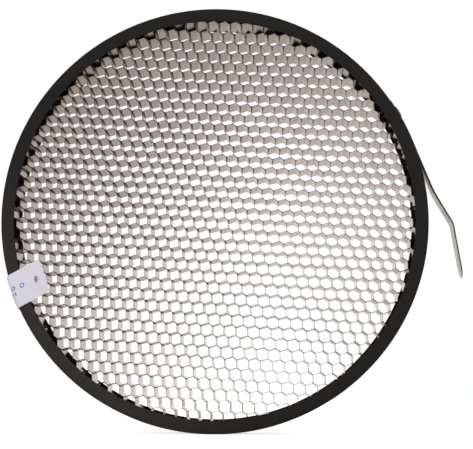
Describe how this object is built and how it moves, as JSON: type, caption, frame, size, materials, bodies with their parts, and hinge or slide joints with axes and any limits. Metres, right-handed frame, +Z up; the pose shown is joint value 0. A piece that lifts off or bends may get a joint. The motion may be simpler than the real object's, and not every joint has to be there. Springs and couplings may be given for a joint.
{
  "type": "honeycomb grid",
  "caption": "Round honeycomb grid for a seven-inch lamp reflector: hexagonal foil core in a rolled rim, with a riveted leaf spring that holds it in the reflector.",
  "frame": {"origin": "centre of the round rim, halfway through its depth", "axes": "+Z up and +X to the right when the grid is seen from its front; the optical axis is Y, and light leaves through the -Y face"},
  "size_m": [0.184, 0.0163, 0.1698],
  "materials": {
    "rim_paint": "semi-matt black paint on rolled aluminium sheet",
    "core_foil": "bare rolled foil",
    "spring_steel": "bare spring strip, dull",
    "rivet_paint": "dark satin",
    "tag_film": "matt white film"
  },
  "bodies": {
    "grid": {"rim_channel": "rim_paint", "foil_ribbon_01": "core_foil", "foil_ribbon_02": "core_foil", "foil_ribbon_03": "core_foil", "foil_ribbon_04": "core_foil", "foil_ribbon_05": "core_foil", "foil_ribbon_06": "core_foil", "foil_ribbon_07": "core_foil", "foil_ribbon_08": "core_foil", "foil_ribbon_09": "core_foil", "foil_ribbon_10": "core_foil", "foil_ribbon_11": "core_foil", "foil_ribbon_12": "core_foil", "foil_ribbon_13": "core_foil", "foil_ribbon_14": "core_foil", "foil_ribbon_15": "core_foil", "foil_ribbon_16": "core_foil", "foil_ribbon_17": "core_foil", "foil_ribbon_18": "core_foil", "foil_ribbon_19": "core_foil", "foil_ribbon_20": "core_foil", "foil_ribbon_21": "core_foil", "foil_ribbon_22": "core_foil", "foil_ribbon_23": "core_foil", "foil_ribbon_24": "core_foil", "foil_ribbon_25": "core_foil", "foil_ribbon_26": "core_foil", "foil_ribbon_27": "core_foil", "foil_ribbon_28": "core_foil", "foil_ribbon_29": "core_foil", "foil_ribbon_30": "core_foil", "foil_ribbon_31": "core_foil", "spring_foot": "spring_steel", "spring_rivet": "rivet_paint", "folded_tag": "tag_film"},
    "blade": {"spring_blade": "spring_steel"}
  },
  "joints": [
    {"name": "spring_flex", "type": "hinge", "parent": "grid", "child": "blade", "pos_m": [0.08283, 0, 0.02311], "axis": [0, 1, 0], "range_deg": [-3, 12], "stiffness_Nm_per_rad": 0.4}
  ]
}
